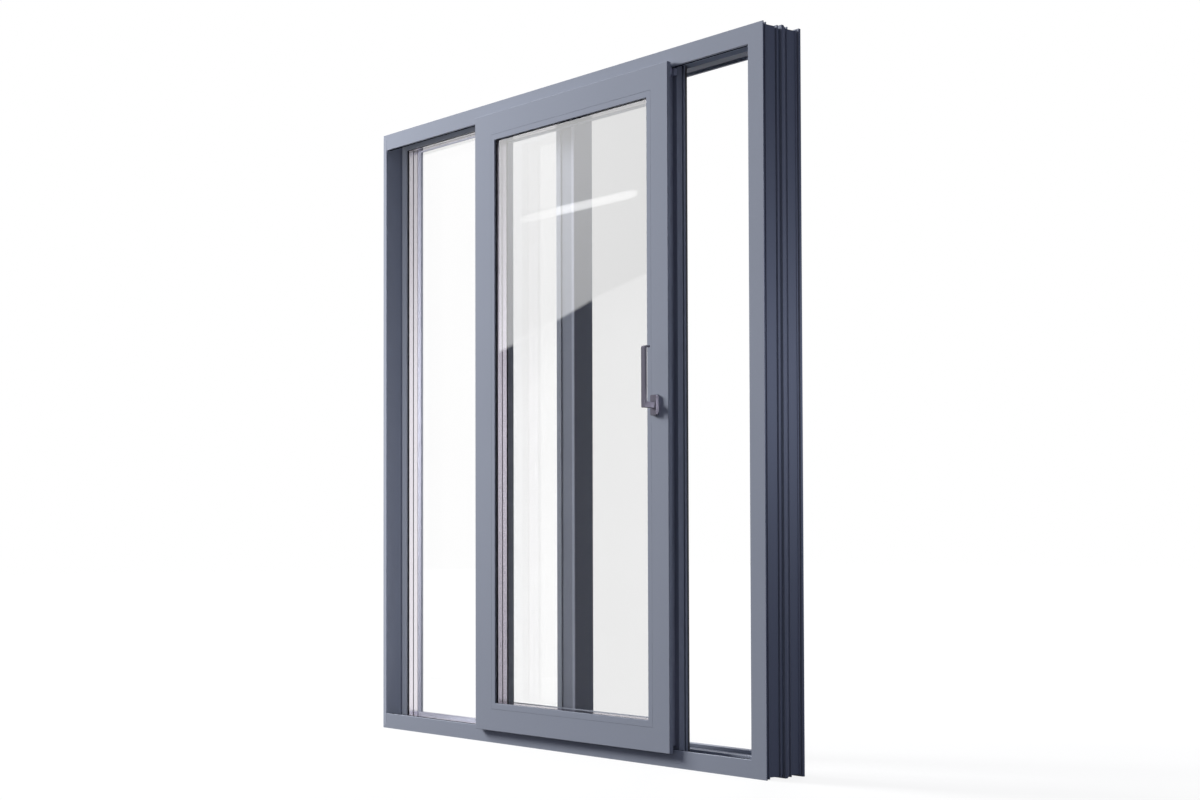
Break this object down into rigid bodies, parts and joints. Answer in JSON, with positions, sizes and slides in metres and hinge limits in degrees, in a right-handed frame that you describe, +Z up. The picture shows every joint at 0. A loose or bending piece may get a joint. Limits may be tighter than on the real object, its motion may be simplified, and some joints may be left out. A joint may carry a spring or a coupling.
{
  "type": "sliding door",
  "caption": "Two-track aluminium sliding door with a fixed light on the left, a glazed sliding leaf parked partly open, and a lever handle.",
  "frame": {"origin": "middle of the sill's underside, at half the width and half the depth of the outer frame", "axes": "+Z up, +Y to the outside, +X to the right seen from the room"},
  "size_m": [2, 0.222, 2.15],
  "materials": {
    "frame_finish": "satin blue-grey powder coat",
    "handle_finish": "satin dark grey coat",
    "glass": "clear",
    "spacer": "satin",
    "gasket": "matt black",
    "seal_strip": "matt dark grey",
    "black_plastic": "matt black",
    "roller_plastic": "off-white hard plastic",
    "cap_plastic": "matt blue-grey",
    "steel": "brushed",
    "bare_aluminium": "mill"
  },
  "bodies": {
    "frame": {"frame_head_lip": "frame_finish", "frame_head_inner": "frame_finish", "frame_head_outer": "frame_finish", "frame_sill_lip": "frame_finish", "frame_sill_inner": "frame_finish", "frame_sill_outer": "frame_finish", "frame_jamb_left_inner": "frame_finish", "frame_jamb_left_outer": "frame_finish", "frame_jamb_right_lip": "frame_finish", "frame_jamb_right_inner": "frame_finish", "frame_jamb_right_outer": "frame_finish", "thermal_break": "black_plastic", "meeting_post": "frame_finish", "meeting_post_strip": "seal_strip", "fixed_bead_head": "frame_finish", "fixed_bead_sill": "frame_finish", "fixed_bead_left": "frame_finish", "fixed_bead_right": "frame_finish", "fixed_panes": "glass", "fixed_spacers": "spacer", "fixed_gasket_inner": "gasket", "fixed_gasket_outer": "gasket", "head_cover": "frame_finish", "threshold_cover": "frame_finish", "jamb_cover": "frame_finish", "track_rail": "steel", "head_guide_fin": "bare_aluminium", "lock_keeps": "steel", "drain_caps": "cap_plastic"},
    "leaf": {"leaf_stile_left": "frame_finish", "leaf_stile_right": "frame_finish", "leaf_rail_top": "frame_finish", "leaf_rail_bottom": "frame_finish", "leaf_bead_head": "frame_finish", "leaf_bead_sill": "frame_finish", "leaf_bead_left": "frame_finish", "leaf_bead_right": "frame_finish", "leaf_panes": "glass", "leaf_spacers": "spacer", "leaf_gasket_inner": "gasket", "leaf_gasket_outer": "gasket", "roller_carriages": "steel", "rollers": "roller_plastic", "top_guides": "black_plastic", "lock_faceplate": "steel", "handle_rosette": "handle_finish", "leaf_rear_seal": "gasket"},
    "handle": {"handle_lever": "handle_finish"}
  },
  "joints": [
    {"name": "leaf_slide", "type": "slide", "parent": "frame", "child": "leaf", "axis": [1, 0, 0], "range_m": [-0.582, 0.344]},
    {"name": "handle_turn", "type": "hinge", "parent": "leaf", "child": "handle", "pos_m": [0.549, -0.105, 1.08], "axis": [0, -1, 0], "range_deg": [0, 180]}
  ]
}
